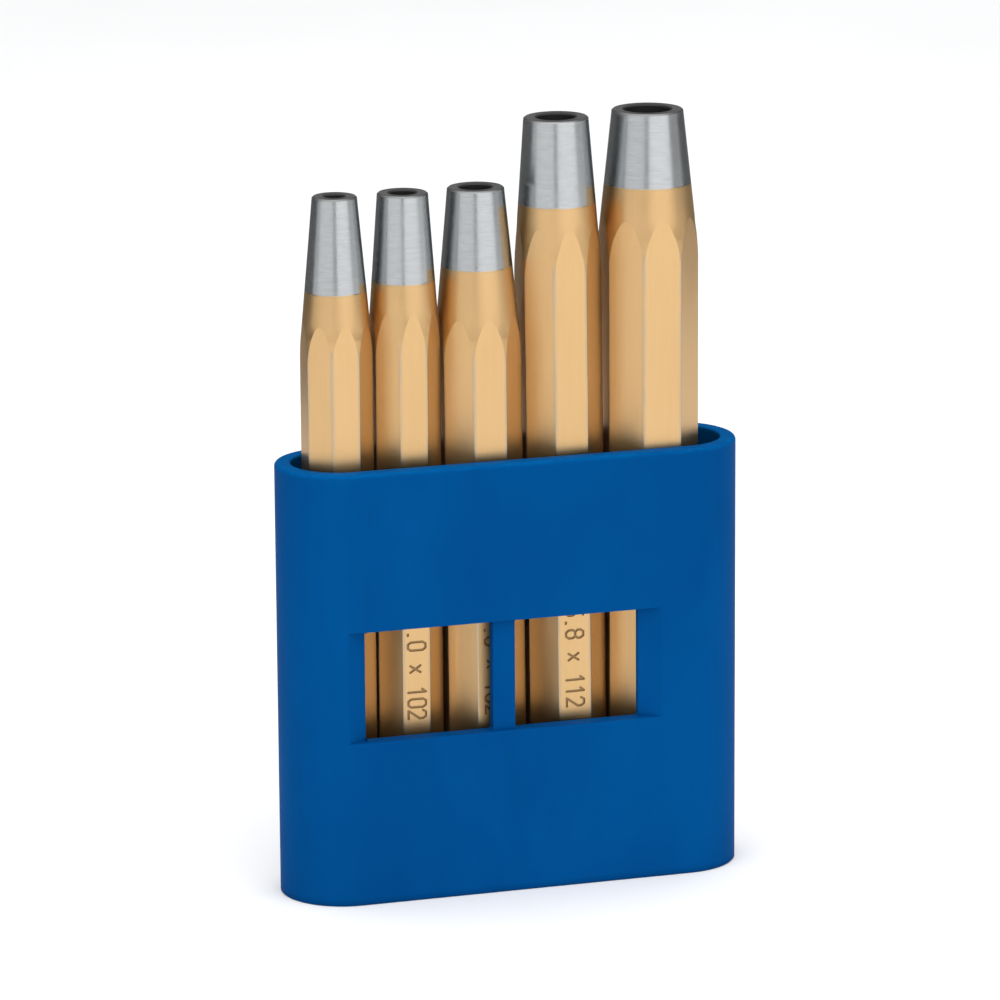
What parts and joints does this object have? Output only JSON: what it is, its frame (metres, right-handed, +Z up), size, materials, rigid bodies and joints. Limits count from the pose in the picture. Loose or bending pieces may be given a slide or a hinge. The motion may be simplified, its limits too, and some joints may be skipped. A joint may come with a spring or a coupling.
{
  "type": "hollow punch set in a holder",
  "caption": "Octagonal hand punches with bored conical tips, standing tip up in a slim open-topped plastic holder with two front windows.",
  "frame": {"origin": "middle of the holder's base, on the surface it stands on", "axes": "+X along the row from the smallest punch to the largest, -Y towards the windowed front, +Z up along the punches"},
  "size_m": [0.071, 0.0192, 0.1156],
  "materials": {
    "holder_plastic": "moulded blue plastic, satin",
    "lacquered_steel": "gold lacquer on forged steel, with a bare ground steel tip"
  },
  "bodies": {
    "holder": {"holder": "holder_plastic"},
    "punch_3": {"punch_3": "lacquered_steel"},
    "punch_4": {"punch_4": "lacquered_steel"},
    "punch_5": {"punch_5": "lacquered_steel"},
    "punch_6": {"punch_6": "lacquered_steel"},
    "punch_8": {"punch_8": "lacquered_steel"}
  },
  "joints": [
    {"name": "punch_3_lift", "type": "slide", "parent": "holder", "child": "punch_3", "axis": [0, 0, 1], "range_m": [0, 0.064]},
    {"name": "punch_4_lift", "type": "slide", "parent": "holder", "child": "punch_4", "axis": [0, 0, 1], "range_m": [0, 0.064]},
    {"name": "punch_5_lift", "type": "slide", "parent": "holder", "child": "punch_5", "axis": [-0.003, 0, 1], "range_m": [0, 0.064]},
    {"name": "punch_6_lift", "type": "slide", "parent": "holder", "child": "punch_6", "axis": [-0.0087, 0, 1], "range_m": [0, 0.064]},
    {"name": "punch_8_lift", "type": "slide", "parent": "holder", "child": "punch_8", "axis": [0, 0, 1], "range_m": [0, 0.064]}
  ]
}
